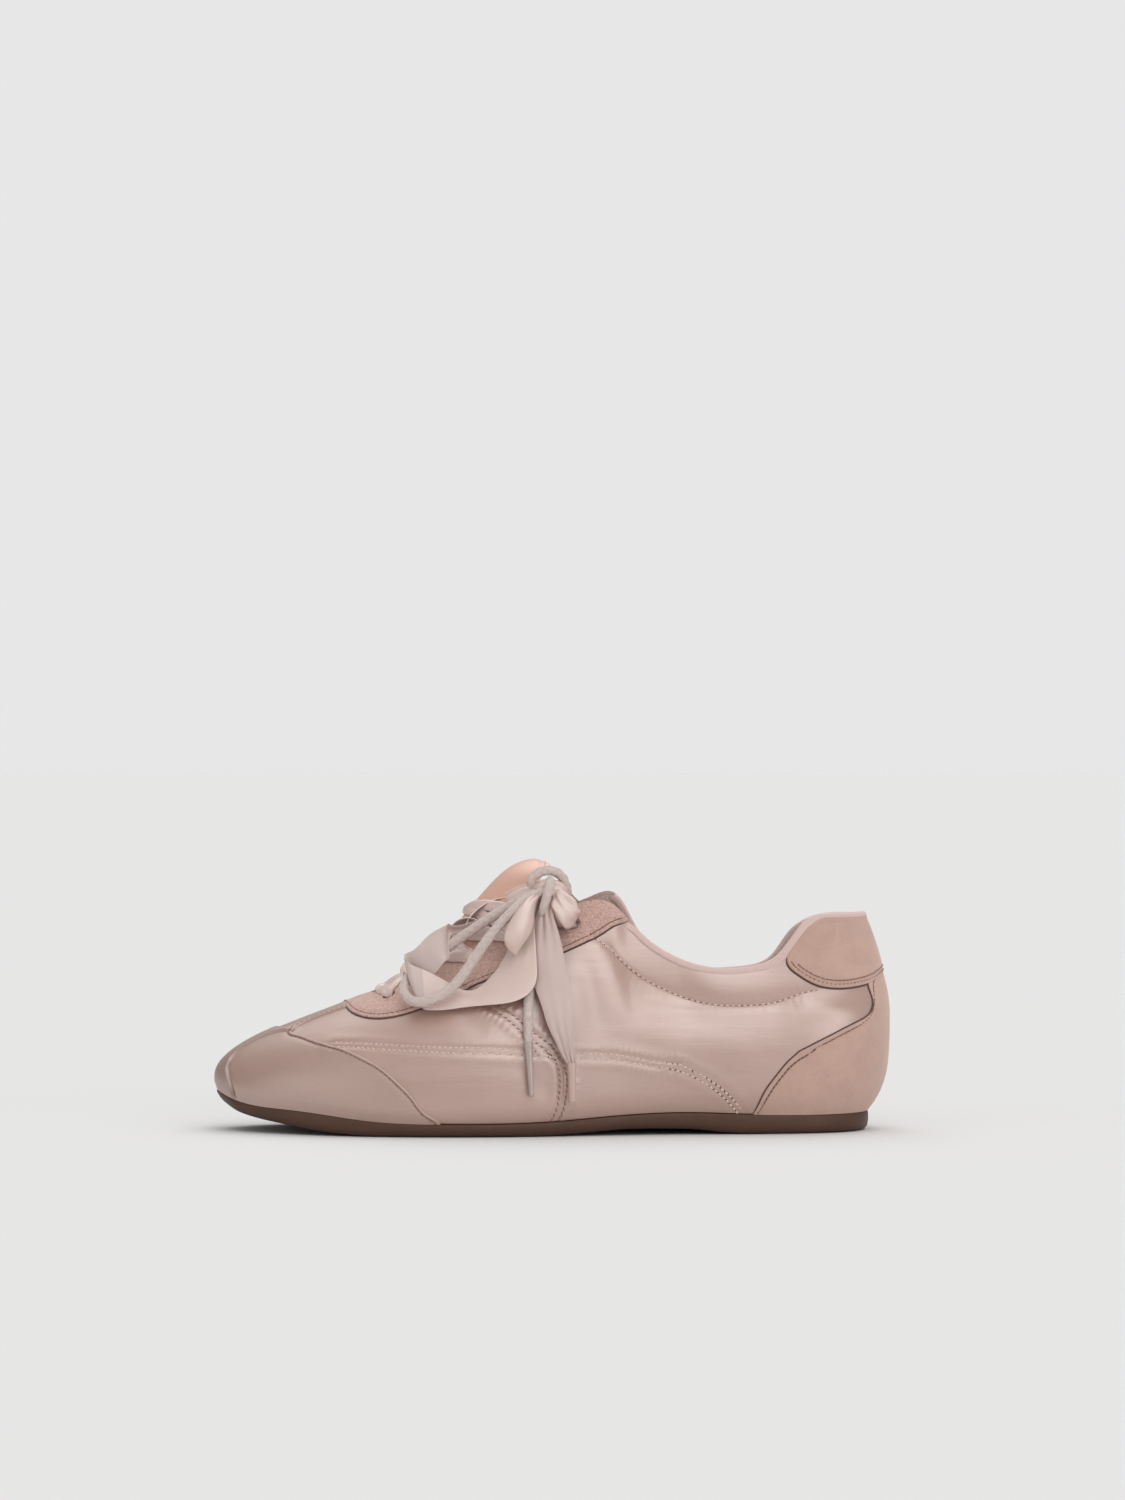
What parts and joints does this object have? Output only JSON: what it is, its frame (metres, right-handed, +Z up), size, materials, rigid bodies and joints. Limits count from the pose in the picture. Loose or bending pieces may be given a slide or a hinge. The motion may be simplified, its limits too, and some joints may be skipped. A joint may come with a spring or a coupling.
{
  "type": "lace-up sneaker",
  "caption": "Slim low-cut satin lace-up sneaker with suede eyestay and heel counter, thin rubber sole, and a ribbon and a round lace tied in a bow.",
  "frame": {"origin": "middle of the shoe's box in plan, on the plane that the sole stands on (bow and lace ends left out)", "axes": "+Z up, -X towards the toe, +X towards the heel, -Y the lateral (outer) side, +Y the medial side"},
  "size_m": [0.2566, 0.0907, 0.1027],
  "materials": {
    "ribbon": "satin",
    "aglet": "gloss",
    "braid": "braided",
    "insole": "brushed",
    "rubber": "smooth",
    "tongue_satin": "satin weave",
    "satin": "satin weave"
  },
  "bodies": {
    "root": {"bow_knot": "ribbon", "cord_aglet": "aglet", "cord_loop": "braid", "cord_tail": "braid", "insole": "insole", "lace_crossings": "ribbon", "outsole": "rubber", "ribbon_aglet": "aglet", "ribbon_loop": "ribbon", "ribbon_tail": "ribbon", "tongue": "tongue_satin", "upper": "satin"}
  },
  "joints": []
}
